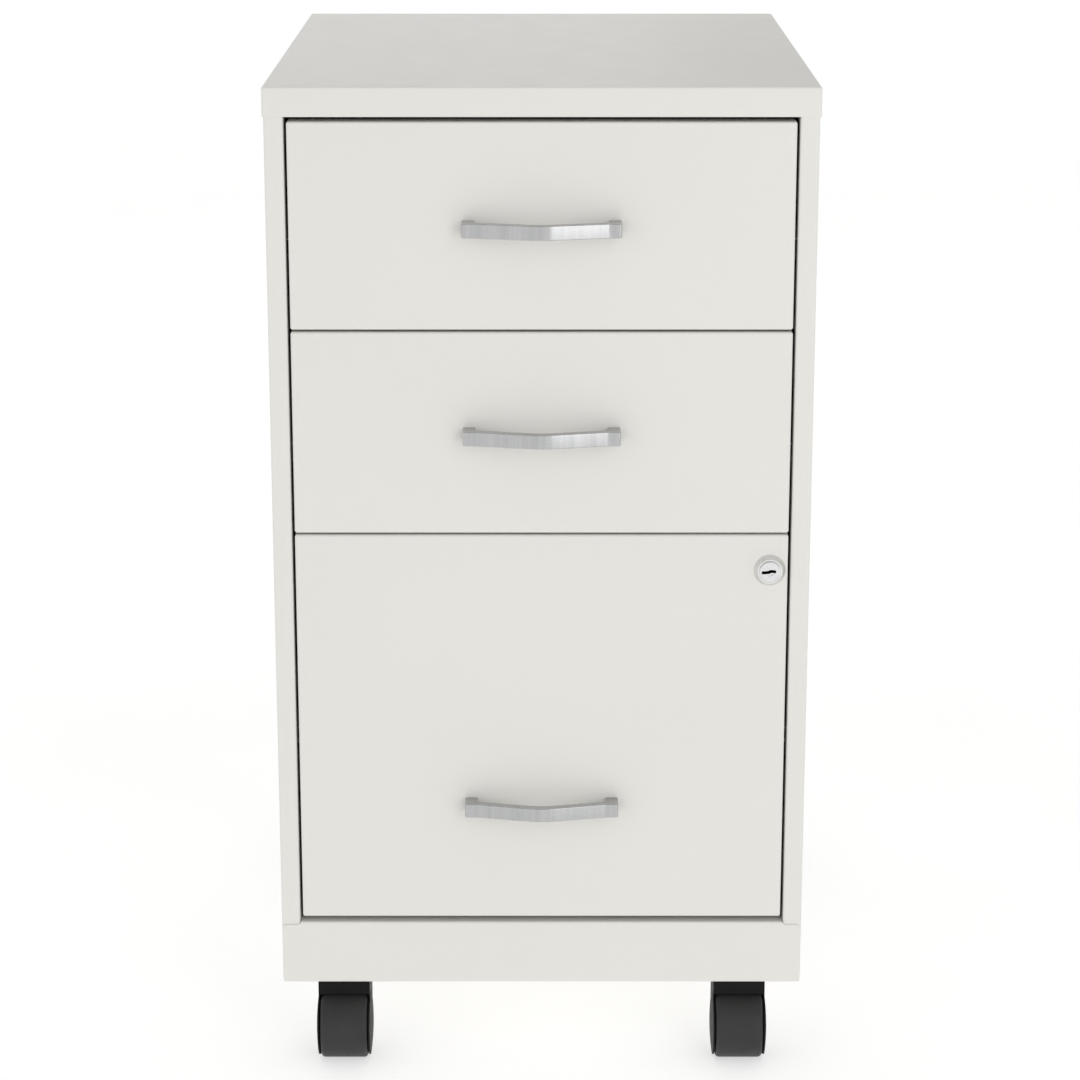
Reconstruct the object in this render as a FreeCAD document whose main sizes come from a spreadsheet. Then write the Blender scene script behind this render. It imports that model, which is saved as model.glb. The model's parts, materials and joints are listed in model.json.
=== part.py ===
import FreeCAD, Part
import math
import os
import re
import Sketcher
from FreeCAD import Vector

# Mobile steel filing cabinet: two box drawers over one file drawer, on four casters.
# Frame: +Z up, front towards -Y, origin on the floor under the middle of the cabinet's
# bounding box. Lengths in millimetres.

SIZES = [
    # case
    ("width", 362, "across the top panel"),
    ("depth", 457, "front of the case to its rear"),
    ("body_height", 622.6, "base underside to top"),
    ("lift", 63.4, "floor to base underside"),
    ("sheet", 0.8, "sheet steel thickness"),
    ("bend", 1.6, "outside radius of a sheet bend"),
    ("top_lip", 19.4, "height of the top panel's rim"),
    ("side_inset", 0.9, "side panel inside the top panel's outline"),
    ("side_rise", 2.0, "side panel's lower edge above the base underside"),
    ("opening", 334.5, "clear width between the front flanges"),
    ("return_depth", 14, "depth of the return behind each front flange"),
    ("rear_flange", 16, "width of the side panels' rear flanges"),
    ("panel_step", 3, "depth of the field pressed into the back panel"),
    ("panel_field", 300, "width of that field"),
    ("kick_height", 45, "kick plate between the flanges"),
    ("kick_end_height", 42.8, "kick plate over the flanges"),
    ("kick_width", 359.2, "kick plate overall"),
    ("kick_corner", 3, "radius of its upper outer corners"),
    ("kick_top_return", 12, "depth of its upper return"),
    ("kick_foot", 20, "depth of its lower return"),
    ("pan_start", 15.8, "front of the case to the base pan"),
    ("pan_rim", 36, "height of the base pan's rim"),
    ("rail_reach", 14, "depth of the top rail"),
    ("rail_drop", 18.6, "top of the case to the top rail's underside"),
    ("channel_width", 33, "caster channel, front to back"),
    ("channel_height", 20, "caster channel"),
    ("rivet_head", 1.0, "rivet head height"),
    ("rivet_head_radius", 3.2, ""),
    ("rivet_radius", 1.6, "rivet shank"),
    ("rivet_pitch", 130, "between rivets"),
    ("rivet_low", 110, "floor to the lowest rivet"),
    ("rivet_length", 3.6, "rivet shank"),
    ("rivet_across", 172, "middle of the case to a rivet"),
    # drawers
    ("front_width", 330.7, "drawer front"),
    ("front_depth", 16, "drawer front, face to liner"),
    ("face_setback", 0.4, "drawer faces behind the front of the case"),
    ("liner_depth", 9, "depth of the liner pan"),
    ("slip", 0.1, "gap around a pan set inside another"),
    ("small_height", 136.9, "box drawer front"),
    ("file_height", 274.2, "file drawer front"),
    ("low_1", 526.5, "floor to the first drawer front"),
    ("low_2", 388.0, "floor to the second drawer front"),
    ("low_3", 112.4, "floor to the third drawer front"),
    ("box_width", 304, "outside of the drawer body"),
    ("box_length", 405, "drawer body, front to back"),
    ("box_floor", 8, "front's lower edge to the drawer body"),
    ("small_box", 95, "height of the box drawer's sides"),
    ("file_box", 224, "height of the file drawer's sides"),
    ("hem", 4, "flange along the drawer sides' upper edges"),
    ("back_drop", 5, "drawer back below the side hems"),
    ("back_depth", 12, "flange of the drawer back"),
    # roller slides
    ("gauge", 1.2, "slide steel thickness"),
    ("small_rise", 45, "front's lower edge to the roller axes, box drawers"),
    ("file_rise", 120, "the same on the file drawer"),
    ("slide_start", 17, "drawer face to the slides"),
    ("slide_length", 400, "both slide members"),
    ("runner_reach", 165.5, "middle to the runner's outer edge"),
    ("runner_drop", 18, "roller axis to the runner's lower edge"),
    ("rail_inner", 158, "middle to the case rail's inner edge"),
    ("rail_clear", 1, "case rail above the runner"),
    ("roller_gap", 0.3, "roller to the track it carries"),
    ("case_roller_radius", 9.5, ""),
    ("drawer_roller_radius", 9.0, ""),
    ("roller_start", 154.5, "middle to a roller's inner face"),
    ("roller_width", 9, ""),
    ("roller_edge", 0.8, "rounding of a roller's edges"),
    ("pin_radius", 2.5, "roller pin"),
    ("running", 0.06, "radial clearance of a running fit"),
    ("case_roller_back", 28, "drawer face to the case rollers' axis"),
    ("drawer_roller_back", 401, "drawer face to the drawer rollers' axis"),
    ("notch_length", 23, "lower flange cut away around the case roller"),
    ("notch_reach", 10, "width of that cut"),
    ("notch_depth", 3.6, "height of that cut"),
    # handles
    ("handle_span", 96, "between screw centres"),
    ("foot_half", 4.2, "half the width of a foot"),
    ("handle_height", 9.4, ""),
    ("foot_reach", 14.3, "face of the bar over its feet"),
    ("apex_reach", 23.2, "face of the bar at its middle"),
    ("apex_extra", 1.14, "what the middle bend's rounding takes off"),
    ("bar_depth", 6.5, "bar, front to back"),
    ("apex_radius", 44, "bend at the middle of the bar"),
    ("shoulder_radius", 14, "bend where the bar leaves a foot"),
    ("foot_radius", 1.4, "outer corner of a foot"),
    ("handle_edge", 0.5, "rounding along the bar"),
    ("small_handle", 68, "front's lower edge to the handle, box drawers"),
    ("file_handle", 83, "the same on the file drawer"),
    ("screw_radius", 2, "handle screw shank"),
    ("screw_play", 0.1, "screw hole, radial"),
    ("screw_tip", 9, "how far a screw reaches into a foot"),
    ("screw_head", 2.2, "screw head height"),
    ("screw_head_radius", 4, ""),
    # lock
    ("lock_across", 153.2, "middle to the lock's axis"),
    ("lock_rise", 249.8, "file front's lower edge to the lock's axis"),
    ("bezel_radius", 10.7, "bezel at the drawer face"),
    ("bezel_top", 8.3, "bezel at its outer end"),
    ("bezel_reach", 4.0, "bezel's outer end from the face"),
    ("barrel_radius", 7.5, "housing behind the face"),
    ("barrel_end", 19, "drawer face to the housing's rear"),
    ("plug_head_radius", 7.4, "visible face of the plug"),
    ("plug_reach", 5.2, "plug's face from the drawer face"),
    ("plug_seat", 1.8, "seat of the plug's head from the drawer face"),
    ("plug_radius", 6.5, "plug inside the housing"),
    ("plug_edge", 0.6, "chamfer of the plug's face"),
    ("tail_radius", 3.2, "plug tail that carries the cam"),
    ("tail_end", 23, "drawer face to the tail's end"),
    ("key_width", 9.6, "keyway"),
    ("key_height", 2.1, "keyway"),
    ("key_offset", 0.9, "middle of the keyway to the left of the plug's axis"),
    ("key_step", 0.7, "sideways step in the keyway"),
    ("key_depth", 8, "keyway"),
    ("dimple_radius", 2.8, "recess around the keyway"),
    ("dimple_depth", 0.7, ""),
    ("cam_start", 19.4, "drawer face to the cam"),
    ("cam_thickness", 1.6, ""),
    ("cam_half", 6, "half the cam's width"),
    ("cam_reach", 22, "lock axis to the cam's tip"),
    ("cam_tip_round", 2, "rounding of the cam's tip"),
    ("cam_foot_round", 5.4, "rounding of the cam's other end"),
    ("nut_thickness", 2.4, "lock nut"),
    ("nut_radius", 11, "lock nut, centre to corner"),
    # casters
    ("caster_across", 138.6, "middle to a swivel axis"),
    ("front_caster_back", 34, "front of the case to the front swivel axes"),
    ("rear_caster_fore", 46, "rear of the case to the rear swivel axes"),
    ("trail", 14, "swivel axis to wheel axis"),
    ("wheel_radius", 24.5, ""),
    ("wheel_width", 33, ""),
    ("wheel_edge", 3, "rounding of the tread's edges"),
    ("wheel_side_gap", 0.7, "wheel to cheek"),
    ("wheel_gap", 1.1, "tread to yoke"),
    ("cheek_radius", 22.6, ""),
    ("cheek_rim", 1.0, "cheek thickness at its rim"),
    ("hood_wall", 0.8, "side wall of the yoke's hood"),
    ("cheek_crown", 2.6, "cheek thickness at the axle"),
    ("axle_radius", 3, ""),
    ("axle_seat", 1.2, "axle end inside a cheek"),
    ("axle_fit", 0.03, "radial gap of the axle in its cheeks"),
    ("yoke_top", 2, "base underside to the yoke"),
    ("yoke_front", 22, "swivel axis to the yoke's front edge"),
    ("yoke_rear", 12, "swivel axis to the yoke's rear edge"),
    ("yoke_drop", 30, "base underside to the hood's lower edge"),
    ("yoke_round", 5, "rounding of the hood's upper edges"),
    ("stem_radius", 5, ""),
    ("stem_low", 14, "stem's lower end below the base underside"),
    ("stem_high", 32, "stem's upper end above it"),
    ("socket_depth", 15, "bottom of the yoke's socket"),
    ("shoulder_disc", 12, "radius of the stem's shoulder"),
    ("shoulder_low", 1.5, "shoulder's lower face"),
    ("stem_hole", 5.4, "hole for the stem"),
    ("caster_nut_radius", 9.2, "centre to corner"),
    ("caster_nut_height", 8, ""),
]

TOP = "(lift + body_height)"
FRONT = "((apex_reach - face_setback - depth) / 2)"
REAR = "((apex_reach - face_setback + depth) / 2)"
SIDE = "(width / 2 - side_inset)"
FACE = f"({FRONT} + face_setback)"
BACK_FACE = f"({REAR} - rivet_head)"
AXLE_BELOW = "(lift - wheel_radius)"
RIVETS_PER_SIDE = 5
NORMALS = {"XY_Plane": (0, 0, 1), "XZ_Plane": (0, -1, 0), "YZ_Plane": (1, 0, 0)}
AXES = {"XY_Plane": (0, 1), "XZ_Plane": (0, 2), "YZ_Plane": (1, 2)}
TOLERANCE = 1e-4
FULL_TURN = 360
QUARTER_TURN = 90
ALONG_X = FreeCAD.Rotation(Vector(0, 1, 0), QUARTER_TURN)
TO_FRONT = FreeCAD.Rotation(Vector(1, 0, 0), QUARTER_TURN)
TO_REAR = FreeCAD.Rotation(Vector(1, 0, 0), -QUARTER_TURN)

doc = FreeCAD.newDocument("FilingCabinet")
sheet = doc.addObject("Spreadsheet::Sheet", "Sizes")
for row, (alias, number, note) in enumerate(SIZES, 1):
    sheet.set(f"A{row}", alias)
    sheet.set(f"B{row}", str(number))
    sheet.set(f"C{row}", note)
    sheet.setAlias(f"B{row}", alias)
doc.recompute()

nodes = []


def expr(text):
    """An expression on the spreadsheet's aliases."""
    return re.sub(r"[a-z]\w*", lambda word: "Sizes." + word[0], str(text))


def value(text):
    """The number that an expression gives."""
    return float(sheet.evalExpression(expr(text)))


def bind(thing, **settings):
    """Bind properties of an object to the spreadsheet."""
    for name, text in settings.items():
        thing.setExpression(name, expr(text))


def place(thing, x="0", y="0", z="0"):
    """Bind an object's position to the spreadsheet."""
    for axis, text in zip("xyz", (x, y, z)):
        thing.setExpression(f"Placement.Base.{axis}", expr(text))


def keep(thing, name):
    """Name an object as a sub-part of the cabinet."""
    thing.Label = name
    nodes.append(thing)
    return thing


# ---- features inside a body ----


def new_body(name):
    return doc.addObject("PartDesign::Body", name)


def new_sketch(body, role, start="0"):
    """A sketch on one of the body's origin planes, moved to the level start."""
    plane = next(f for f in body.Origin.OriginFeatures if f.Role == role)
    sketch = body.newObject("Sketcher::SketchObject", body.Name + "_sketch")
    sketch.AttachmentSupport = [(plane, "")]
    sketch.MapMode = "FlatFace"
    sign = "-" if role == "XZ_Plane" else ""
    sketch.setExpression("AttachmentOffset.Base.z", expr(f"{sign}({start})"))
    return sketch


def fix_point(sketch, line, end, u, v):
    """Tie an end or centre of a curve to two expressions."""
    for kind, text, axis in (("DistanceX", u, -2), ("DistanceY", v, -1)):
        level = value(text)
        if abs(level) < TOLERANCE:
            sketch.addConstraint(Sketcher.Constraint("PointOnObject", line, end, axis))
            continue
        tie = sketch.addConstraint(Sketcher.Constraint(kind, -1, 1, line, end, level))
        sketch.setExpression(f"Constraints[{tie}]", expr(text))


def polygon(sketch, points):
    """A closed outline through points given as pairs of expressions."""
    spots = [Vector(value(u), value(v), 0) for u, v in points]
    first = sketch.GeometryCount
    count = len(spots)
    for i in range(count):
        sketch.addGeometry(Part.LineSegment(spots[i], spots[(i + 1) % count]))
    for i in range(count):
        following = first + (i + 1) % count
        sketch.addConstraint(Sketcher.Constraint("Coincident", first + i, 2, following, 1))
    for i, (u, v) in enumerate(points):
        fix_point(sketch, first + i, 1, u, v)


def rectangle(sketch, u0, u1, v0, v1):
    polygon(sketch, [(u0, v0), (u1, v0), (u1, v1), (u0, v1)])


def circle(sketch, u, v, radius):
    centre = Vector(value(u), value(v), 0)
    index = sketch.addGeometry(Part.Circle(centre, Vector(0, 0, 1), value(radius)))
    fix_point(sketch, index, 3, u, v)
    tie = sketch.addConstraint(Sketcher.Constraint("Radius", index, value(radius)))
    sketch.setExpression(f"Constraints[{tie}]", expr(radius))


def pad(body, sketch, length, reverse=False, symmetric=False):
    feature = body.newObject("PartDesign::Pad", body.Name + "_pad")
    feature.Profile = sketch
    feature.Reversed = reverse
    if symmetric:
        feature.SideType = "Symmetric"
    bind(feature, Length=length)
    doc.recompute()
    return feature


def pocket(body, sketch, length=None, reverse=False):
    """Cut a sketch away, and make sure that it did cut."""
    before = body.Shape.Volume
    feature = body.newObject("PartDesign::Pocket", body.Name + "_pocket")
    feature.Profile = sketch
    feature.Reversed = reverse
    if length is None:
        feature.Type = "ThroughAll"
    else:
        bind(feature, Length=length)
    doc.recompute()
    if not body.Shape.Volume < before - TOLERANCE:
        raise ValueError(f"{feature.Name} cuts nothing")
    return feature


def revolve(body, sketch, axis):
    """Turn a sketch about its own H_Axis or V_Axis."""
    feature = body.newObject("PartDesign::Revolution", body.Name + "_revolution")
    feature.Profile = sketch
    feature.ReferenceAxis = (sketch, [axis])
    feature.Angle = FULL_TURN
    doc.recompute()
    return feature


def straight_edges(shape, pairs):
    """Names of straight edges that run through a pair of (axis, level) planes."""
    found = []
    for number, edge in enumerate(shape.Edges, 1):
        if edge.Degenerated or edge.Curve.TypeId != "Part::GeomLine":
            continue
        ends = [vertex.Point for vertex in edge.Vertexes]
        for pair in pairs:
            if all(abs(end[axis] - level) < TOLERANCE for end in ends for axis, level in pair):
                found.append(f"Edge{number}")
                break
    return found


def rims_of(body, radius):
    """Names of the full circles of one radius."""
    found = []
    for number, edge in enumerate(body.Shape.Edges, 1):
        if edge.Closed and edge.Curve.TypeId == "Part::GeomCircle":
            if abs(edge.Curve.Radius - value(radius)) < TOLERANCE:
                found.append(f"Edge{number}")
    return found


def fillet(body, edges, radius):
    """Round the named edges of the body's last feature."""
    base = body.Tip
    feature = body.newObject("PartDesign::Fillet", body.Name + "_fillet")
    feature.Base = (base, edges)
    bind(feature, Radius=radius)
    doc.recompute()
    return feature


def round_edges(body, pairs, radius):
    fillet(body, straight_edges(body.Shape, pairs), radius)


# ---- folded sheet ----


def strip(name, role, path, length, start="0", thickness="sheet", reverse=False, symmetric=False):
    """A folded strip: path is its outer line, with the metal on the left of the way along it."""
    body = new_body(name)
    spots = [(value(u), value(v)) for u, v in path]
    steps = [(b[0] - a[0], b[1] - a[1]) for a, b in zip(spots, spots[1:])]
    lefts = [(-(dv > 0) + (dv < 0), (du > 0) - (du < 0)) for du, dv in steps]
    inner = []
    for i, (u, v) in enumerate(path):
        sides = lefts[max(i - 1, 0) : i + 1]
        across = sum(side[0] for side in sides)
        along = sum(side[1] for side in sides)
        inner.append((f"{u} + {across} * {thickness}", f"{v} + {along} * {thickness}"))
    sketch = new_sketch(body, role, start)
    polygon(sketch, list(path) + inner[::-1])
    pad(body, sketch, length, reverse, symmetric)
    first, second = AXES[role]
    outside, inside = [], []
    for i in range(1, len(path) - 1):
        (au, av), (bu, bv) = steps[i - 1], steps[i]
        on_path, on_inner = (
            ((first, value(u)), (second, value(v))) for u, v in (path[i], inner[i])
        )
        turns_left = au * bv - av * bu > 0
        outside.append(on_path if turns_left else on_inner)
        inside.append(on_inner if turns_left else on_path)
    radius = "bend" if thickness == "sheet" else f"2 * {thickness}"
    round_edges(body, outside, radius)
    round_edges(body, inside, f"{radius} - {thickness}")
    return body


def box_corners(role, rect, closed):
    """The edges of a pan: pairs of planes among its four walls and its closed face."""
    first, second = AXES[role]
    normal = 3 - first - second
    across = [(first, value(rect[0])), (first, value(rect[1]))]
    along = [(second, value(rect[2])), (second, value(rect[3]))]
    face = (normal, closed)
    walls = [(a, b) for a in across for b in along]
    return walls + [(wall, face) for wall in across + along]


def pan(name, role, rect, start, height, flip=False):
    """A folded pan. Its open side is at the level start, and it closes along the plane's
    normal, or against it with flip."""
    body = new_body(name)
    sketch = new_sketch(body, role, start)
    rectangle(sketch, *rect)
    pad(body, sketch, height, reverse=flip)
    way = sum(NORMALS[role]) * (-1 if flip else 1)
    closed = value(start) + way * value(height)
    round_edges(body, box_corners(role, rect, closed), "bend")
    inner = (f"{rect[0]} + sheet", f"{rect[1]} - sheet", f"{rect[2]} + sheet", f"{rect[3]} - sheet")
    hollow = new_sketch(body, role, start)
    rectangle(hollow, *inner)
    pocket(body, hollow, f"{height} - sheet", reverse=not flip)
    closed -= way * value("sheet")
    round_edges(body, box_corners(role, inner, closed), "bend - sheet")
    return body


def drill(body, role, centres, radius, start="0", reverse=False):
    """Holes right through, from the level start onwards."""
    sketch = new_sketch(body, role, start)
    for u, v in centres:
        circle(sketch, u, v, radius)
    pocket(body, sketch, reverse=reverse)


def mirrored(source, name):
    """The left-hand twin of a right-hand piece."""
    twin = doc.addObject("Part::Mirroring", name)
    twin.Source = source
    twin.Normal = (1, 0, 0)
    return twin


def group(name, pieces):
    """Separate solids that share one node."""
    whole = doc.addObject("Part::Compound", name)
    whole.Links = pieces
    return keep(whole, name)


# ---- case ----

caster_places = {
    "front_left": ("-caster_across", f"{FRONT} + front_caster_back"),
    "front_right": ("caster_across", f"{FRONT} + front_caster_back"),
    "rear_left": ("-caster_across", f"{REAR} - rear_caster_fore"),
    "rear_right": ("caster_across", f"{REAR} - rear_caster_fore"),
}
rivet_levels = [f"rivet_low + {i} * rivet_pitch" for i in range(RIVETS_PER_SIDE)]


def make_top_panel():
    rect = ("-width / 2", "width / 2", FRONT, REAR)
    keep(pan("top_panel", "XY_Plane", rect, f"{TOP} - top_lip", "top_lip"), "top_panel")


def make_side_panels():
    front = f"{FRONT} + sheet"
    rear = f"{BACK_FACE} - sheet"
    path = [
        ("opening / 2", f"{front} + return_depth"),
        ("opening / 2", front),
        (SIDE, front),
        (SIDE, rear),
        (f"{SIDE} - rear_flange", rear),
    ]
    low = "lift + side_rise"
    right = strip("right_side_panel", "XY_Plane", path, f"{TOP} - bend - ({low})", start=low)
    centres = [("rivet_across", level) for level in rivet_levels]
    drill(right, "XZ_Plane", centres, "rivet_radius + screw_play / 2", start=f"{rear} - bend")
    keep(right, "right_side_panel")
    keep(mirrored(right, "left_side_panel"), "left_side_panel")


def make_back_panel():
    edge = f"{SIDE} - sheet"
    stepped = f"{BACK_FACE} - panel_step"
    path = [
        (edge, BACK_FACE),
        ("panel_field / 2", BACK_FACE),
        ("panel_field / 2", stepped),
        ("-panel_field / 2", stepped),
        ("-panel_field / 2", BACK_FACE),
        (f"-({edge})", BACK_FACE),
    ]
    low = "lift + side_rise"
    body = strip("back_panel", "XY_Plane", path, f"{TOP} - top_lip - slip - ({low})", start=low)
    centres = [(sign + "rivet_across", level) for sign in ("", "-") for level in rivet_levels]
    drill(body, "XZ_Plane", centres, "rivet_radius + screw_play / 2", start=stepped)
    keep(body, "back_panel")


def make_rivets():
    pieces = []
    for sign in ("", "-"):
        for level in rivet_levels:
            head = doc.addObject("Part::Cone", "rivet_head")
            bind(head, Radius1="rivet_head_radius", Radius2="rivet_radius", Height="rivet_head")
            shank = doc.addObject("Part::Cylinder", "rivet_shank")
            bind(shank, Radius="rivet_radius", Height="rivet_length")
            for piece, turn in ((head, TO_REAR), (shank, TO_FRONT)):
                piece.Placement.Rotation = turn
                place(piece, sign + "rivet_across", BACK_FACE, level)
            rivet = doc.addObject("Part::Fuse", "rivet")
            rivet.Base = head
            rivet.Tool = shank
            pieces.append(rivet)
    group("case_rivets", pieces)


def make_kick_plate():
    high = "lift + kick_height"
    path = [
        (f"{FRONT} + kick_top_return", high),
        (FRONT, high),
        (FRONT, "lift"),
        (f"{FRONT} + kick_foot", "lift"),
    ]
    body = strip("kick_plate", "YZ_Plane", path, "kick_width", symmetric=True)
    step = "lift + kick_end_height"
    mitre = "(opening / 2 - sheet)"
    rise = "(kick_height - kick_end_height)"
    ends = new_sketch(body, "XZ_Plane", f"{FRONT} - bend")
    for sign in ("", "-"):
        points = [
            (f"{mitre} + {rise}", step),
            ("kick_width / 2 + bend", step),
            ("kick_width / 2 + bend", f"{high} + bend"),
            (mitre, f"{high} + bend"),
            (mitre, high),
        ]
        polygon(ends, [(f"{sign}({u})", v) for u, v in points])
    pocket(body, ends)
    corners = [((0, value(f"{sign}kick_width / 2")), (2, value(step))) for sign in ("", "-")]
    round_edges(body, corners, "kick_corner")
    keep(body, "kick_plate")


def make_base_pan():
    half = f"{SIDE} - sheet - slip"
    rear = f"{BACK_FACE} - panel_step - sheet - slip"
    rect = (f"-({half})", half, f"{FRONT} + pan_start", rear)
    body = pan("base_pan", "XY_Plane", rect, "lift + sheet + pan_rim", "pan_rim", flip=True)
    drill(body, "XY_Plane", caster_places.values(), "stem_hole", reverse=True)
    keep(body, "base_pan")


def make_top_rail():
    front = f"{FRONT} + 2 * sheet"
    rear = f"{FRONT} + rail_reach"
    path = [
        (rear, f"{TOP} - sheet"),
        (front, f"{TOP} - sheet"),
        (front, f"{TOP} - rail_drop"),
        (rear, f"{TOP} - rail_drop"),
    ]
    length = "opening - 2 * slip"
    keep(strip("top_rail", "YZ_Plane", path, length, symmetric=True), "top_rail")


def make_caster_channel(name, middle):
    low = "lift + 2 * sheet"
    path = [
        (f"{middle} + channel_width / 2", low),
        (f"{middle} + channel_width / 2", f"{low} + channel_height"),
        (f"{middle} - channel_width / 2", f"{low} + channel_height"),
        (f"{middle} - channel_width / 2", low),
    ]
    length = f"2 * ({SIDE} - 2 * sheet - slip - bend)"
    body = strip(name, "YZ_Plane", path, length, symmetric=True)
    centres = [(sign + "caster_across", middle) for sign in ("", "-")]
    drill(body, "XY_Plane", centres, "stem_hole", reverse=True)
    keep(body, name)


def hexagon(name, circumradius, height, bore):
    """A hexagonal nut standing on its own XY plane."""
    prism = doc.addObject("Part::Prism", name + "_prism")
    prism.Polygon = 6
    bind(prism, Circumradius=circumradius, Height=height)
    hole = doc.addObject("Part::Cylinder", name + "_hole")
    bind(hole, Radius=bore, Height=height)
    nut = doc.addObject("Part::Cut", name)
    nut.Base = prism
    nut.Tool = hole
    return nut


def make_caster_fixings():
    stems, nuts = [], []
    for x, y in caster_places.values():
        stem = new_body("caster_stem")
        sketch = new_sketch(stem, "XZ_Plane")
        points = [
            ("0", "-stem_low"),
            ("stem_radius", "-stem_low"),
            ("stem_radius", "-shoulder_low"),
            ("shoulder_disc", "-shoulder_low"),
            ("shoulder_disc", "sheet"),
            ("stem_radius", "sheet"),
            ("stem_radius", "stem_high"),
            ("0", "stem_high"),
        ]
        polygon(sketch, points)
        revolve(stem, sketch, "V_Axis")
        place(stem, x, y, "lift")
        stems.append(stem)
        nut = hexagon("caster_nut", "caster_nut_radius", "caster_nut_height", "stem_radius + axle_fit")
        place(nut, x, y, "lift + 2 * sheet + channel_height")
        nuts.append(nut)
    group("caster_stems", stems)
    group("caster_nuts", nuts)


# ---- drawers ----


def in_drawer(thing, low):
    """Drawer pieces share a frame: face plane, middle, lower edge of the front."""
    place(thing, "0", FACE, low)
    return thing


def make_front(name, low, height, handle_rise, locked):
    half = "front_width / 2"
    skin = pan(name + "_front", "XZ_Plane", (f"-{half}", half, "0", height), "front_depth", "front_depth")
    inset = "(sheet + slip)"
    rect = (f"-({half} - {inset})", f"{half} - {inset}", inset, f"{height} - {inset}")
    liner = pan(name + "_liner", "XZ_Plane", rect, "front_depth - liner_depth", "liner_depth", flip=True)
    centres = [(sign + "handle_span / 2", handle_rise) for sign in ("", "-")]
    for piece in (skin, liner):
        drill(piece, "XZ_Plane", centres, "screw_radius + screw_play")
        if locked:
            drill(piece, "XZ_Plane", [("lock_across", "lock_rise")], "barrel_radius + screw_play")
        keep(in_drawer(piece, low), piece.Name)


def make_box(name, low, box_height):
    half = "box_width / 2"
    floor = "box_floor"
    high = f"box_floor + {box_height}"
    path = [
        (f"-({half} + hem)", high),
        (f"-{half}", high),
        (f"-{half}", floor),
        (half, floor),
        (half, high),
        (f"{half} + hem", high),
    ]
    body = strip(name + "_body", "XZ_Plane", path, "box_length", start="front_depth", reverse=True)
    inner = f"({half} - sheet)"
    rect = (f"-{inner}", inner, f"{floor} + sheet", f"{high} - back_drop")
    start = "front_depth + box_length - back_depth"
    back = pan(name + "_back", "XZ_Plane", rect, start, "back_depth", flip=True)
    for piece in (body, back):
        keep(in_drawer(piece, low), piece.Name)


def pin(name, start, end, back, rise):
    """A roller pin that runs across the cabinet."""
    body = new_body(name)
    sketch = new_sketch(body, "YZ_Plane", start)
    circle(sketch, back, rise, "pin_radius")
    pad(body, sketch, f"{end} - ({start})")
    return body


def roller(name, radius, back, rise):
    """A grooveless nylon roller on a pin."""
    body = new_body(name)
    sketch = new_sketch(body, "YZ_Plane", "roller_start")
    circle(sketch, back, rise, radius)
    circle(sketch, back, rise, "pin_radius + running")
    pad(body, sketch, "roller_width")
    fillet(body, rims_of(body, radius), "roller_edge")
    return body


def make_slides(number, low, rise):
    name = f"drawer_{number}"
    # runner: a web on the drawer side with a flange that rolls on the case roller
    high = f"{rise} + case_roller_radius + roller_gap + gauge"
    path = [("runner_reach", high), ("box_width / 2", high), ("box_width / 2", f"{rise} - runner_drop")]
    runner = strip(name + "_runner", "XZ_Plane", path, "slide_length", "slide_start", "gauge", reverse=True)
    end = "roller_start + roller_width + gauge"
    rear_pin = pin(name + "_runner_pin", "box_width / 2 + gauge", end, "drawer_roller_back", rise)
    # case rail: a channel that the drawer's own roller runs in
    low_flange = f"{rise} - drawer_roller_radius - roller_gap - gauge"
    high_flange = f"{high} + rail_clear + gauge"
    wall = f"{SIDE} - sheet"
    path = [
        ("rail_inner", low_flange),
        (wall, low_flange),
        (wall, high_flange),
        ("rail_inner", high_flange),
    ]
    rail = strip(name + "_rail", "XZ_Plane", path, "slide_length", "slide_start", "gauge", reverse=True)
    notch = new_sketch(rail, "XY_Plane", f"{low_flange} - gauge")
    rectangle(
        notch,
        "rail_inner - gauge",
        "rail_inner + notch_reach",
        "slide_start - gauge",
        "slide_start + notch_length",
    )
    pocket(rail, notch, "notch_depth", reverse=True)
    front_pin = pin(name + "_rail_pin", "roller_start", f"{wall} - gauge", "case_roller_back", rise)
    rollers = {
        f"case_rollers_{number}": ("case_roller_radius", "case_roller_back"),
        f"drawer_rollers_{number}": ("drawer_roller_radius", "drawer_roller_back"),
    }
    groups = {f"drawer_{number}_runners": [runner, rear_pin], f"case_rails_{number}": [rail, front_pin]}
    for label, (radius, back) in rollers.items():
        groups[label] = [roller(label + "_right", radius, back, rise)]
    for label, pieces in groups.items():
        twins = [mirrored(piece, piece.Name + "_left") for piece in pieces]
        in_drawer(group(label, pieces + twins), low)


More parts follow.
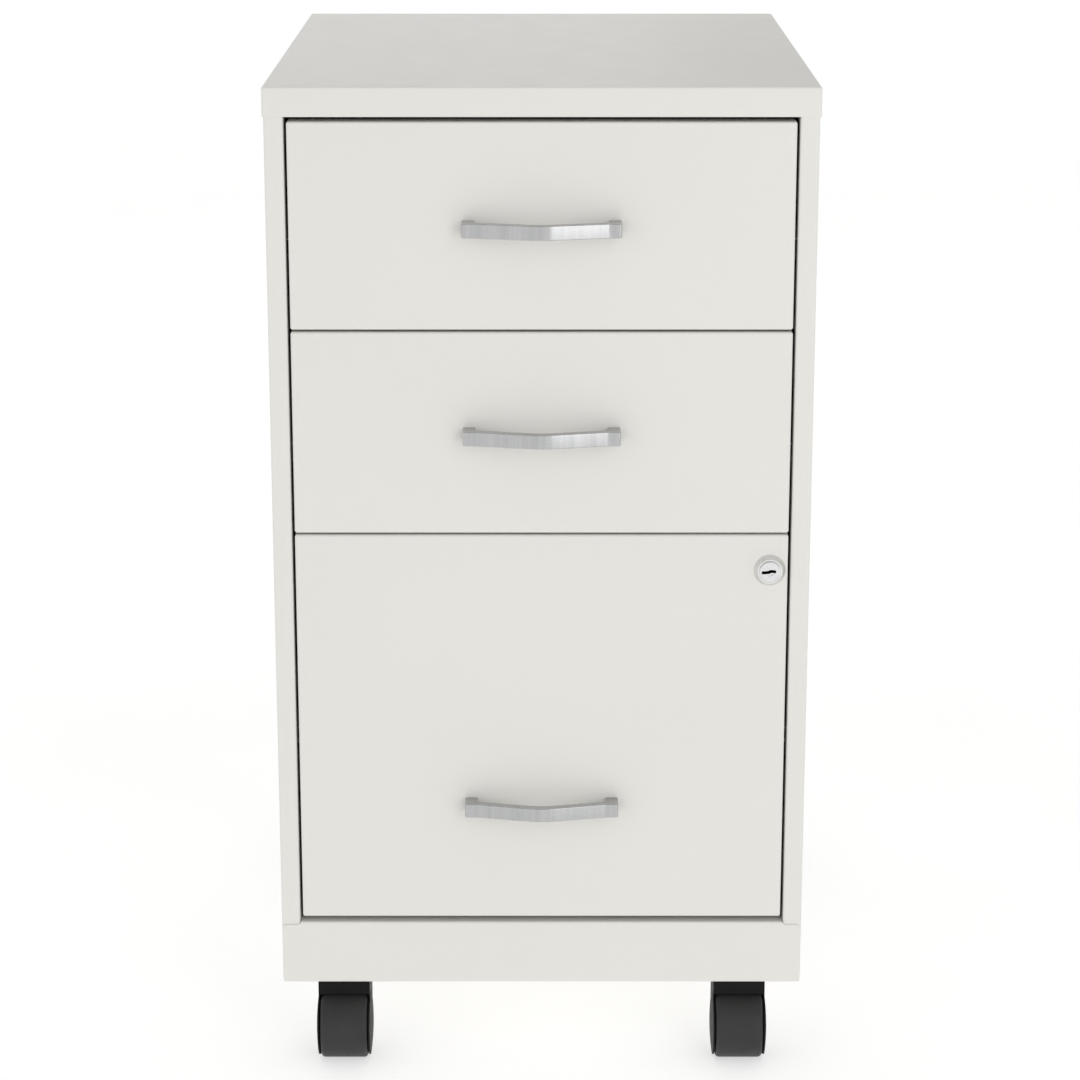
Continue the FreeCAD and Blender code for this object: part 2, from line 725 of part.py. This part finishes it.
def make_handle(name, low, rise):
    body = new_body(name + "_handle")
    outer = "(handle_span / 2 + foot_half)"
    inner = "(handle_span / 2 - foot_half)"
    peak = "(apex_reach + apex_extra)"
    sketch = new_sketch(body, "XY_Plane", rise)
    points = [
        (outer, "0"),
        (inner, "0"),
        (inner, "bar_depth - foot_reach"),
        ("0", f"bar_depth - {peak}"),
        (f"-{inner}", "bar_depth - foot_reach"),
        (f"-{inner}", "0"),
        (f"-{outer}", "0"),
        (f"-{outer}", "-foot_reach"),
        (f"-{inner}", "-foot_reach"),
        ("0", f"-{peak}"),
        (inner, "-foot_reach"),
        (outer, "-foot_reach"),
    ]
    polygon(sketch, points)
    pad(body, sketch, "handle_height", symmetric=True)
    rounds = [
        ([points[9]], "apex_radius"),
        ([points[3]], "apex_radius - bar_depth"),
        ([points[8], points[10]], "shoulder_radius"),
        ([points[7], points[11], points[2], points[4]], "foot_radius"),
    ]
    for spots, radius in rounds:
        round_edges(body, [((0, value(u)), (1, value(v))) for u, v in spots], radius)
    rims = []
    for number, edge in enumerate(body.Shape.Edges, 1):
        middle = edge.CenterOfMass
        if abs(abs(middle.z - value(rise)) - value("handle_height / 2")) < TOLERANCE:
            if middle.y < -TOLERANCE:
                rims.append(f"Edge{number}")
    fillet(body, rims, "handle_edge")
    centres = [(sign + "handle_span / 2", rise) for sign in ("", "-")]
    holes = new_sketch(body, "XZ_Plane")
    for u, v in centres:
        circle(holes, u, v, "screw_radius + axle_fit")
    pocket(body, holes, "screw_tip + slip", reverse=True)
    keep(in_drawer(body, low), body.Name)
    screws = []
    for across, _ in centres:
        screw = new_body(name + "_screw")
        profile = new_sketch(screw, "XY_Plane")
        outline = [
            ("0", "-screw_tip"),
            ("screw_radius", "-screw_tip"),
            ("screw_radius", "front_depth"),
            ("screw_head_radius", "front_depth"),
            ("screw_head_radius", "front_depth + screw_head"),
            ("0", "front_depth + screw_head"),
        ]
        polygon(profile, outline)
        revolve(screw, profile, "V_Axis")
        place(screw, across, "0", rise)
        screws.append(screw)
    in_drawer(group(name + "_handle_screws", screws), low)


def make_drawer(number, height, box_height, slide_rise, handle_rise, locked):
    name = f"drawer_{number}"
    low = f"low_{number}"
    make_front(name, low, height, handle_rise, locked)
    make_box(name, low, box_height)
    make_slides(number, low, slide_rise)
    make_handle(name, low, handle_rise)


# ---- lock ----


def on_lock(thing, back="0"):
    place(thing, "lock_across", f"{FACE} + {back}", "low_3 + lock_rise")
    return thing


def turned(name, points):
    """A piece turned about the lock's axis, from points (radius, distance from the face)."""
    body = new_body(name)
    sketch = new_sketch(body, "XY_Plane")
    polygon(sketch, points)
    revolve(body, sketch, "V_Axis")
    return body


def make_lock():
    bore = "(plug_radius + running)"
    seat = "(plug_head_radius + running)"
    housing = turned(
        "lock_housing",
        [
            (seat, "-bezel_reach"),
            ("bezel_top", "-bezel_reach"),
            ("bezel_radius", "0"),
            ("barrel_radius", "0"),
            ("barrel_radius", "barrel_end"),
            (bore, "barrel_end"),
            (bore, "-plug_seat"),
            (seat, "-plug_seat"),
        ],
    )
    keep(on_lock(housing), "lock_housing")
    head = "plug_head_radius"
    plug = turned(
        "lock_plug",
        [
            ("0", "-plug_reach"),
            (f"{head} - plug_edge", "-plug_reach"),
            (head, "plug_edge - plug_reach"),
            (head, "-(plug_seat + running)"),
            ("plug_radius", "-(plug_seat + running)"),
            ("plug_radius", "barrel_end"),
            ("tail_radius", "barrel_end"),
            ("tail_radius", "tail_end"),
            ("0", "tail_end"),
        ],
    )
    dimple = new_sketch(plug, "XZ_Plane", "-plug_reach")
    circle(dimple, "0", "0", "dimple_radius")
    pocket(plug, dimple, "dimple_depth")
    left = "-(key_width / 2 + key_offset)"
    right = "key_width / 2 - key_offset"
    thick = "key_height / 2"
    keyway = new_sketch(plug, "XZ_Plane", "-plug_reach")
    points = [
        (left, f"-{thick} - key_step / 2"),
        ("-key_step", f"-{thick} - key_step / 2"),
        ("key_step", f"-{thick} + key_step / 2"),
        (right, f"-{thick} + key_step / 2"),
        (right, f"{thick} + key_step / 2"),
        ("0", f"{thick} + key_step / 2"),
        ("-2 * key_step", f"{thick} - key_step / 2"),
        (left, f"{thick} - key_step / 2"),
    ]
    polygon(keyway, points)
    pocket(plug, keyway, "key_depth")
    keep(on_lock(plug), "lock_plug")
    cam = new_body("lock_cam")
    sketch = new_sketch(cam, "XZ_Plane", "cam_start")
    rectangle(sketch, "-cam_half", "cam_half", "-cam_half", "cam_reach")
    pad(cam, sketch, "cam_thickness", reverse=True)
    ends = [("-cam_half", "cam_reach"), ("cam_half", "cam_reach")]
    feet = [("-cam_half", "-cam_half"), ("cam_half", "-cam_half")]
    round_edges(cam, [((0, value(u)), (2, value(v))) for u, v in ends], "cam_tip_round")
    round_edges(cam, [((0, value(u)), (2, value(v))) for u, v in feet], "cam_foot_round")
    drill(cam, "XZ_Plane", [("0", "0")], "tail_radius + axle_fit")
    keep(on_lock(cam), "lock_cam")
    nut = hexagon("lock_nut", "nut_radius", "nut_thickness", "barrel_radius + axle_fit")
    nut.Placement.Rotation = TO_REAR
    keep(on_lock(nut, "front_depth"), "lock_nut")


# ---- casters ----


def across_cylinder(name, radius, length, y, z):
    """A cylinder that runs across the cabinet, centred on the swivel axis."""
    cylinder = doc.addObject("Part::Cylinder", name)
    bind(cylinder, Radius=radius, Height=length)
    cylinder.Placement.Rotation = ALONG_X
    place(cylinder, f"-({length}) / 2", y, z)
    return cylinder


def make_cheek(name):
    """The right-hand cheek: a disc with a domed outer face, turned about the axle."""
    inner = "(wheel_width / 2 + wheel_side_gap)"
    corners = [
        (f"{inner} + cheek_crown", "0"),
        (inner, "0"),
        (inner, "cheek_radius"),
        (f"{inner} + cheek_rim", "cheek_radius"),
    ]
    body = new_body(name)
    sketch = new_sketch(body, "XY_Plane")
    spots = [Vector(value(u), value(v), 0) for u, v in corners]
    for i in range(3):
        sketch.addGeometry(Part.LineSegment(spots[i], spots[i + 1]))
        fix_point(sketch, i, 1, *corners[i])
    fix_point(sketch, 2, 2, *corners[3])
    for i in range(2):
        sketch.addConstraint(Sketcher.Constraint("Coincident", i, 2, i + 1, 1))
    rise = value("cheek_crown - cheek_rim")
    radius = (value("cheek_radius") ** 2 + rise**2) / (2 * rise)
    dome = Part.Circle(spots[0] - Vector(radius, 0, 0), Vector(0, 0, 1), radius)
    arc = sketch.addGeometry(Part.ArcOfCircle(dome, 0, math.asin(value("cheek_radius") / radius)))
    sketch.addConstraint(Sketcher.Constraint("Coincident", arc, 1, 0, 1))
    sketch.addConstraint(Sketcher.Constraint("Coincident", arc, 2, 2, 2))
    sketch.addConstraint(Sketcher.Constraint("PointOnObject", arc, 3, -1))
    revolve(body, sketch, "H_Axis")
    place(body, "0", "-trail", f"-{AXLE_BELOW}")
    return body


def make_yoke(name):
    half = "(wheel_width / 2 + wheel_side_gap + hood_wall)"
    hood = doc.addObject("Part::Box", name + "_hood")
    bind(hood, Length=f"2 * {half}", Width="yoke_front + yoke_rear", Height="yoke_drop - yoke_top")
    place(hood, f"-{half}", "-yoke_front", "-yoke_drop")
    doc.recompute()
    levels = [(1, value("-yoke_front")), (1, value("yoke_rear")), (0, value(half)), (0, value(f"-{half}"))]
    top = (2, value("-yoke_top"))
    names = straight_edges(hood.Shape, [(level, top) for level in levels[:2]])
    rounded = doc.addObject("Part::Fillet", name + "_round")
    rounded.Base = hood
    radius = value("yoke_round")
    rounded.Edges = [(int(edge[4:]), radius, radius) for edge in names]
    fused = doc.addObject("Part::MultiFuse", name + "_fused")
    right = make_cheek(name + "_cheek_right")
    fused.Shapes = [rounded, right, mirrored(right, name + "_cheek_left")]
    socket = doc.addObject("Part::Cylinder", name + "_socket")
    bind(socket, Radius="stem_radius + running", Height="socket_depth")
    place(socket, "0", "0", "-socket_depth")
    width = "wheel_width + 2 * wheel_side_gap"
    space = across_cylinder(name + "_space", "wheel_radius + wheel_gap", width, "-trail", f"-{AXLE_BELOW}")
    seat = f"{width} + 2 * axle_seat"
    eye = across_cylinder(name + "_eye", "axle_radius + axle_fit", seat, "-trail", f"-{AXLE_BELOW}")
    cuts = doc.addObject("Part::MultiFuse", name + "_cuts")
    cuts.Shapes = [socket, space, eye]
    yoke = doc.addObject("Part::Cut", name)
    yoke.Base = fused
    yoke.Tool = cuts
    return yoke


def make_wheel(name):
    wheel = new_body(name)
    sketch = new_sketch(wheel, "YZ_Plane")
    circle(sketch, "-trail", f"-{AXLE_BELOW}", "wheel_radius")
    circle(sketch, "-trail", f"-{AXLE_BELOW}", "axle_radius + running")
    pad(wheel, sketch, "wheel_width", symmetric=True)
    fillet(wheel, rims_of(wheel, "wheel_radius"), "wheel_edge")
    return wheel


def make_casters():
    for corner, (x, y) in caster_places.items():
        name = f"caster_{corner}"
        length = "wheel_width + 2 * (wheel_side_gap + axle_seat)"
        axle = across_cylinder(name + "_axle_pin", "axle_radius", length, "-trail", f"-{AXLE_BELOW}")
        axle_node = doc.addObject("Part::Compound", name + "_axle")
        axle_node.Links = [axle]
        pieces = {
            "_yoke": make_yoke(name + "_yoke"),
            "_wheel": make_wheel(name + "_wheel"),
            "_axle": axle_node,
        }
        for ending, piece in pieces.items():
            place(piece, x, y, "lift")
            keep(piece, name + ending)


make_top_panel()
make_side_panels()
make_back_panel()
make_rivets()
make_kick_plate()
make_base_pan()
make_top_rail()
make_caster_channel("front_caster_channel", f"({FRONT} + front_caster_back)")
make_caster_channel("rear_caster_channel", f"({REAR} - rear_caster_fore)")
make_caster_fixings()
make_drawer(1, "small_height", "small_box", "small_rise", "small_handle", False)
make_drawer(2, "small_height", "small_box", "small_rise", "small_handle", False)
make_drawer(3, "file_height", "file_box", "file_rise", "file_handle", True)
make_lock()
make_casters()

doc.recompute()
for thing in doc.Objects:
    if {"Invalid", "Error"} & set(thing.State):
        raise ValueError(f"{thing.Name} is {thing.State}")
os.makedirs("parts", exist_ok=True)
for node in nodes:
    if node.Shape.isNull() or not node.Shape.isValid() or not node.Shape.Solids:
        raise ValueError(f"{node.Label} has no valid shape")
    node.Shape.exportStep(f"parts/{node.Label}.step")
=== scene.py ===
import json
import math

import bmesh
import bpy
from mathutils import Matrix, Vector


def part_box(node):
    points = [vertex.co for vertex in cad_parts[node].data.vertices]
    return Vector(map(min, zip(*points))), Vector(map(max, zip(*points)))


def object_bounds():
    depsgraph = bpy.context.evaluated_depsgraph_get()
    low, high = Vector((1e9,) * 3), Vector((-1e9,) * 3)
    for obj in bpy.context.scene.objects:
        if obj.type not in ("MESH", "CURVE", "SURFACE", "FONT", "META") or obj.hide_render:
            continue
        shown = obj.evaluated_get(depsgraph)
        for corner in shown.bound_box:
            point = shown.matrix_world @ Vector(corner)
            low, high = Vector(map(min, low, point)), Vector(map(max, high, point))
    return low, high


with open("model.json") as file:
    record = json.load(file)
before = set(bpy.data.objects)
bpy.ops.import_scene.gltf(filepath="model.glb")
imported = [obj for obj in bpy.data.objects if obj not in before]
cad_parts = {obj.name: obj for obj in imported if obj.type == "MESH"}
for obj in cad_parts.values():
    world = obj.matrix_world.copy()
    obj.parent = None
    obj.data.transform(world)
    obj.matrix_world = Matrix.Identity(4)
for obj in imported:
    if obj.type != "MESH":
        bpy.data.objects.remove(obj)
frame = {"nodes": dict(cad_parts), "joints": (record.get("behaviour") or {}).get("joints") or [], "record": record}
nodes = frame["nodes"]
record = frame["record"]
cad_low, cad_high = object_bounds()

MM = 0.001
SLOT_OF = {part["node"]: part["material_slot"] for part in record["subparts"]}


def joint_place(name):
    """Where a joint's axis passes at rest."""
    return Vector(next(j["pos_m"] for j in frame["joints"] if j["name"] == name))


def even(grey):
    """A neutral colour."""
    return (grey, grey, grey)


def scaled(colour, factor):
    return tuple(channel * factor for channel in colour)


# ---- materials ----

# The span that a noise texture mostly keeps to.
NOISE_LOW = 0.25
NOISE_HIGH = 0.75


class Nodes:
    """A small builder for one material's node tree."""

    def __init__(self, name):
        self.material = bpy.data.materials.new(name)
        self.material.use_nodes = True
        self.tree = self.material.node_tree
        self.shader = self.tree.nodes["Principled BSDF"]
        self.place = self.add("ShaderNodeTexCoord").outputs["Object"]

    def add(self, kind, **settings):
        node = self.tree.nodes.new(kind)
        for name, setting in settings.items():
            setattr(node, name, setting)
        return node

    def link(self, source, target):
        self.tree.links.new(source, target)

    def set(self, **values):
        """Set the shader's own sockets, with underscores for spaces."""
        for name, number in values.items():
            self.shader.inputs[name.replace("_", " ")].default_value = number

    def noise(self, scale, detail=2.0, roughness=0.5, stretch=None):
        """Noise with scale features per metre; stretch scales them along each axis."""
        node = self.add("ShaderNodeTexNoise")
        node.inputs["Scale"].default_value = scale
        node.inputs["Detail"].default_value = detail
        node.inputs["Roughness"].default_value = roughness
        source = self.place
        if stretch is not None:
            mapping = self.add("ShaderNodeMapping")
            mapping.inputs["Scale"].default_value = stretch
            self.link(source, mapping.inputs["Vector"])
            source = mapping.outputs["Vector"]
        self.link(source, node.inputs["Vector"])
        return node.outputs["Fac"]

    def spread(self, factor, low=0.0, high=1.0):
        """Map the span that noise keeps to onto low..high."""
        node = self.add("ShaderNodeMapRange")
        node.inputs["From Min"].default_value = NOISE_LOW
        node.inputs["From Max"].default_value = NOISE_HIGH
        node.inputs["To Min"].default_value = low
        node.inputs["To Max"].default_value = high
        self.link(factor, node.inputs["Value"])
        return node.outputs["Result"]

    def colours(self, factor, first, second):
        """Vary the base colour from first to second."""
        node = self.add("ShaderNodeMix", data_type="RGBA")
        self.link(factor, node.inputs["Factor"])
        node.inputs["A"].default_value = (*first, 1.0)
        node.inputs["B"].default_value = (*second, 1.0)
        self.link(node.outputs["Result"], self.shader.inputs["Base Color"])

    def roughness(self, factor, low, high):
        """Vary the roughness between low and high."""
        self.link(self.spread(factor, low, high), self.shader.inputs["Roughness"])

    def bump(self, height, distance, strength, after=None):
        node = self.add("ShaderNodeBump")
        node.inputs["Strength"].default_value = strength
        node.inputs["Distance"].default_value = distance
        self.link(height, node.inputs["Height"])
        if after is not None:
            self.link(after, node.inputs["Normal"])
        self.link(node.outputs["Normal"], self.shader.inputs["Normal"])
        return node.outputs["Normal"]


def powder_coat(name, colour, rough):
    """Powder coat: a fine orange-peel skin with faint changes of tint and gloss."""
    n = Nodes(name)
    n.colours(n.spread(n.noise(scale=6.0, detail=3.0)), scaled(colour, 0.982), colour)
    n.roughness(n.noise(scale=45.0, detail=4.0), rough - 0.04, rough + 0.05)
    peel = n.bump(n.noise(scale=430.0), distance=0.05 * MM, strength=0.55)
    n.bump(n.noise(scale=2600.0, detail=1.0), distance=0.008 * MM, strength=0.5, after=peel)
    n.set(Specular_IOR_Level=0.42)
    return n.material


def brushed_chrome(name, dark, light):
    """Chrome over a bar brushed along its length, with fainter streaks across it."""
    n = Nodes(name)
    streaks = n.noise(scale=260.0, detail=4.0, roughness=0.6, stretch=(1.0, 1.0, 0.02))
    n.colours(n.spread(streaks), dark, light)
    grain = n.noise(scale=2400.0, detail=3.0, roughness=0.6, stretch=(0.02, 0.02, 1.0))
    n.roughness(grain, 0.20, 0.30)
    n.bump(grain, distance=0.01 * MM, strength=0.6)
    tangent = n.add("ShaderNodeTangent", direction_type="RADIAL", axis="Z")
    n.link(tangent.outputs["Tangent"], n.shader.inputs["Tangent"])
    n.set(Metallic=1.0, Anisotropic=0.75, Anisotropic_Rotation=0.25)
    return n.material


LOCK_AXIS = joint_place("lock_turn")
PLUG_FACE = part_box("lock_plug")[0].y
KEYWAY_REACH = 6.8 * MM
DIMPLE_DEPTH = 0.8 * MM
# Painted shade: the near-black colour given to the inside of the keyway.
KEYWAY_PAINTED_SHADE = even(0.004)


def satin_nickel(name, first, second, rough, painted_keyway_shade=False):
    """Satin nickel with fine lines turned about the lock's axis. Optionally, whatever is near the axis
    and deeper than the dimple in the plug's face is painted near-black: painted shade standing in for the shade
    inside the keyway."""
    n = Nodes(name)
    from_axis = n.add("ShaderNodeVectorMath", operation="SUBTRACT")
    from_axis.inputs[1].default_value = LOCK_AXIS
    n.link(n.place, from_axis.inputs[0])
    flat = n.add("ShaderNodeVectorMath", operation="MULTIPLY")
    flat.inputs[1].default_value = (1.0, 0.0, 1.0)
    n.link(from_axis.outputs["Vector"], flat.inputs[0])
    radius = n.add("ShaderNodeVectorMath", operation="LENGTH")
    n.link(flat.outputs["Vector"], radius.inputs[0])
    lines = n.add("ShaderNodeTexNoise", noise_dimensions="1D")
    lines.inputs["Scale"].default_value = 2600.0
    lines.inputs["Detail"].default_value = 3.0
    n.link(radius.outputs["Value"], lines.inputs["W"])
    n.roughness(lines.outputs["Fac"], rough - 0.06, rough + 0.08)
    n.bump(lines.outputs["Fac"], distance=0.01 * MM, strength=0.7)
    n.colours(n.spread(n.noise(scale=400.0)), first, second)
    n.set(Metallic=1.0)
    # Painted shade: the inside of the keyway is coloured near-black in place of the shade that falls into it.
    if painted_keyway_shade:
        inside = n.add("ShaderNodeMath", operation="LESS_THAN")
        inside.inputs[1].default_value = KEYWAY_REACH
        n.link(radius.outputs["Value"], inside.inputs[0])
        depth = n.add("ShaderNodeSeparateXYZ")
        n.link(n.place, depth.inputs["Vector"])
        behind = n.add("ShaderNodeMath", operation="GREATER_THAN")
        behind.inputs[1].default_value = PLUG_FACE + DIMPLE_DEPTH
        n.link(depth.outputs["Y"], behind.inputs[0])
        painted_shade_mask = n.add("ShaderNodeMath", operation="MULTIPLY")
        n.link(inside.outputs["Value"], painted_shade_mask.inputs[0])
        n.link(behind.outputs["Value"], painted_shade_mask.inputs[1])
        plain = n.shader.inputs["Base Color"].links[0].from_socket
        shade = n.add("ShaderNodeMix", data_type="RGBA")
        n.link(painted_shade_mask.outputs["Value"], shade.inputs["Factor"])
        n.link(plain, shade.inputs["A"])
        shade.inputs["B"].default_value = (*KEYWAY_PAINTED_SHADE, 1.0)
        n.link(shade.outputs["Result"], n.shader.inputs["Base Color"])
    return n.material


def zinc(name, dark, light):
    """Zinc plate: soft grey spangle and a dull sheen."""
    n = Nodes(name)
    cells = n.add("ShaderNodeTexVoronoi", feature="F1")
    cells.inputs["Scale"].default_value = 420.0
    n.link(n.place, cells.inputs["Vector"])
    n.colours(cells.outputs["Color"], dark, light)
    n.roughness(n.noise(scale=240.0, detail=4.0), 0.30, 0.46)
    n.bump(n.noise(scale=1500.0), distance=0.01 * MM, strength=0.5)
    n.set(Metallic=1.0)
    return n.material


def nylon(name, dark, light):
    """Natural nylon, slightly translucent white."""
    n = Nodes(name)
    n.colours(n.spread(n.noise(scale=150.0, detail=3.0)), dark, light)
    n.roughness(n.noise(scale=500.0, detail=3.0), 0.34, 0.46)
    n.bump(n.noise(scale=900.0), distance=0.02 * MM, strength=0.5)
    n.set(Subsurface_Weight=0.15, Subsurface_Scale=2 * MM)
    return n.material


def black_plastic(name, colour, shine):
    """Moulded black plastic with a fine spark-eroded grain."""
    n = Nodes(name)
    n.colours(n.spread(n.noise(scale=60.0, detail=4.0)), scaled(colour, 0.8), colour)
    n.roughness(n.noise(scale=300.0, detail=4.0), 0.45, 0.56)
    n.bump(n.noise(scale=1900.0, detail=3.0), distance=0.03 * MM, strength=0.5)
    n.set(Specular_IOR_Level=shine)
    return n.material


def studio_floor(name, dark, light, glow):
    """A matt pale floor, slightly self-lit."""
    n = Nodes(name)
    n.colours(n.spread(n.noise(scale=3.0)), dark, light)
    n.roughness(n.noise(scale=20.0, detail=3.0), 0.62, 0.70)
    n.set(Emission_Color=(1.0, 1.0, 1.0, 1.0), Emission_Strength=glow)
    return n.material


CASE_COLOUR = (0.765, 0.752, 0.715)
ZINC_DARK = (0.55, 0.56, 0.57)
ZINC_LIGHT = (0.62, 0.63, 0.64)

MATERIALS = {
    "painted_case": powder_coat("powder_coat_case", CASE_COLOUR, 0.38),
    "painted_inner": powder_coat("powder_coat_inner", scaled(CASE_COLOUR, 0.97), 0.46),
    "zinc_slides": zinc("zinc_slides", ZINC_DARK, ZINC_LIGHT),
    "nylon_rollers": nylon("natural_nylon", (0.74, 0.73, 0.68), (0.80, 0.79, 0.74)),
    "chrome_handle": brushed_chrome("brushed_chrome", (0.42, 0.424, 0.432), (0.52, 0.52, 0.524)),
    "lock_metal": satin_nickel("lock_nickel", (0.70, 0.70, 0.69), (0.78, 0.78, 0.77), 0.30),
    # The caster housing is set darker than the wheel: partly its own black plastic, partly painted shade for the
    # shadow under the cabinet's body.
    "caster_housing": black_plastic("caster_housing", even(0.006), shine=0.15),
    "caster_wheel": black_plastic("caster_wheel", even(0.030), shine=0.35),
    "zinc_fasteners": zinc("zinc_fasteners", ZINC_DARK, ZINC_LIGHT),
}
# The lock plug's nickel, with painted shade in its keyway.
PLUG_NICKEL_PAINTED_SHADE = satin_nickel(
    "plug_nickel_painted_shade", (0.66, 0.66, 0.67), (0.74, 0.74, 0.75), 0.26, painted_keyway_shade=True
)


# ---- CAD nodes: smooth bends, crisp folds, real finishes, painted shade in the lock's keyway ----

SMOOTH_ANGLE = math.radians(30)
WELD_DISTANCE = 0.001 * MM


def smoothing():
    """A modifier that welds the tessellation and shades bends smooth and corners sharp."""
    tree = bpy.data.node_groups.new("smooth_bends", "GeometryNodeTree")
    tree.interface.new_socket("Geometry", in_out="INPUT", socket_type="NodeSocketGeometry")
    tree.interface.new_socket("Geometry", in_out="OUTPUT", socket_type="NodeSocketGeometry")
    start = tree.nodes.new("NodeGroupInput")
    end = tree.nodes.new("NodeGroupOutput")
    forget = tree.nodes.new("GeometryNodeRemoveAttribute")
    forget.inputs["Name"].default_value = "custom_normal"
    weld = tree.nodes.new("GeometryNodeMergeByDistance")
    weld.inputs["Distance"].default_value = WELD_DISTANCE
    faces = tree.nodes.new("GeometryNodeSetShadeSmooth")
    faces.domain = "FACE"
    edges = tree.nodes.new("GeometryNodeSetShadeSmooth")
    edges.domain = "EDGE"
    angle = tree.nodes.new("GeometryNodeInputMeshEdgeAngle")
    gentle = tree.nodes.new("FunctionNodeCompare")
    gentle.operation = "LESS_THAN"
    gentle.inputs["B"].default_value = SMOOTH_ANGLE
    for source, target in (
        (start.outputs["Geometry"], forget.inputs["Geometry"]),
        (forget.outputs["Geometry"], weld.inputs["Geometry"]),
        (weld.outputs["Geometry"], faces.inputs["Geometry"]),
        (faces.outputs["Geometry"], edges.inputs["Geometry"]),
        (angle.outputs["Unsigned Angle"], gentle.inputs["A"]),
        (gentle.outputs["Result"], edges.inputs["Shade Smooth"]),
        (edges.outputs["Geometry"], end.inputs["Geometry"]),
    ):
        tree.links.new(source, target)
    return tree


def finish_nodes():
    """Give every CAD node its material and its shading."""
    smooth_bends = smoothing()
    for name, node in nodes.items():
        material = PLUG_NICKEL_PAINTED_SHADE if name == "lock_plug" else MATERIALS[SLOT_OF[name]]
        node.data.materials.clear()
        node.data.materials.append(material)
        modifier = node.modifiers.new("smooth_bends", "NODES")
        modifier.node_group = smooth_bends


# ---- camera, light, floor ----

CAMERA_ASIDE = -1.1 * MM
CAMERA_DISTANCE = 2.0
CAMERA_ABOVE_TOP = 0.252
CAMERA_PITCH = math.radians(15.5)
CAMERA_LENS = 103.3
SENSOR = 36.0

# Each softbox: its name, place, width and height in metres, and watts.
SOFTBOXES = (
    ("key_softbox", (1.15, -2.5, 1.2), (1.0, 2.4), 10.0),
    ("fill_softbox", (-1.9, -2.2, 1.1), (1.6, 1.6), 3.0),
    ("rear_softbox", (-0.6, 2.6, 1.6), (1.8, 1.4), 3.0),
)
WORLD_STRENGTH = 0.63

COVE_FLAT = 7.0
COVE_SWEEP = 2.6
COVE_STEPS = 24
COVE_SIDES = 96
FLOOR_DARK = (0.58, 0.58, 0.575)
FLOOR_LIGHT = (0.62, 0.62, 0.615)
FLOOR_GLOW = 0.56


def make_camera():
    front_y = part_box("kick_plate")[0].y
    top_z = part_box("top_panel")[1].z
    data = bpy.data.cameras.new("camera")
    data.lens = CAMERA_LENS
    data.sensor_width = SENSOR
    camera = bpy.data.objects.new("camera", data)
    camera.location = (CAMERA_ASIDE, front_y - CAMERA_DISTANCE, top_z + CAMERA_ABOVE_TOP)
    camera.rotation_euler = (math.pi / 2 - CAMERA_PITCH, 0, 0)
    bpy.context.scene.collection.objects.link(camera)
    bpy.context.scene.camera = camera


def make_softbox(name, place, size, watts):
    """A softbox that faces the middle of the cabinet."""
    data = bpy.data.lights.new(name, "AREA")
    data.shape = "RECTANGLE"
    data.size, data.size_y = size
    data.energy = watts
    light = bpy.data.objects.new(name, data)
    light.location = place
    middle = (cad_low + cad_high) / 2
    light.rotation_euler = (middle - Vector(place)).to_track_quat("-Z", "Y").to_euler()
    bpy.context.scene.collection.objects.link(light)


def make_cove():
    """A round pale floor that sweeps up into a low wall all round."""
    profile = [(COVE_FLAT, 0.0)]
    for step in range(1, COVE_STEPS + 1):
        turn = step / COVE_STEPS * math.pi / 2
        profile.append((COVE_FLAT + COVE_SWEEP * math.sin(turn), COVE_SWEEP * (1 - math.cos(turn))))
    mesh = bmesh.new()
    rings = []
    for radius, height in profile:
        ring = []
        for k in range(COVE_SIDES):
            angle = k / COVE_SIDES * math.tau
            ring.append(mesh.verts.new((radius * math.cos(angle), radius * math.sin(angle), height)))
        rings.append(ring)
    mesh.faces.new(rings[0])
    for inner, outer in zip(rings, rings[1:]):
        for k in range(COVE_SIDES):
            after = (k + 1) % COVE_SIDES
            mesh.faces.new((inner[k], outer[k], outer[after], inner[after]))
    data = bpy.data.meshes.new("studio_floor")
    mesh.to_mesh(data)
    mesh.free()
    data.shade_smooth()
    data.materials.append(studio_floor("studio_floor", FLOOR_DARK, FLOOR_LIGHT, FLOOR_GLOW))
    floor = bpy.data.objects.new("studio_floor", data)
    bpy.context.scene.collection.objects.link(floor)


def make_studio():
    world = bpy.data.worlds.new("studio")
    world.use_nodes = True
    background = world.node_tree.nodes["Background"]
    background.inputs["Color"].default_value = (1.0, 1.0, 1.0, 1.0)
    background.inputs["Strength"].default_value = WORLD_STRENGTH
    bpy.context.scene.world = world
    for softbox in SOFTBOXES:
        make_softbox(*softbox)
    make_cove()
    settings = bpy.context.scene.view_settings
    settings.view_transform = "Standard"
    settings.look = "None"


finish_nodes()
make_camera()
make_studio()
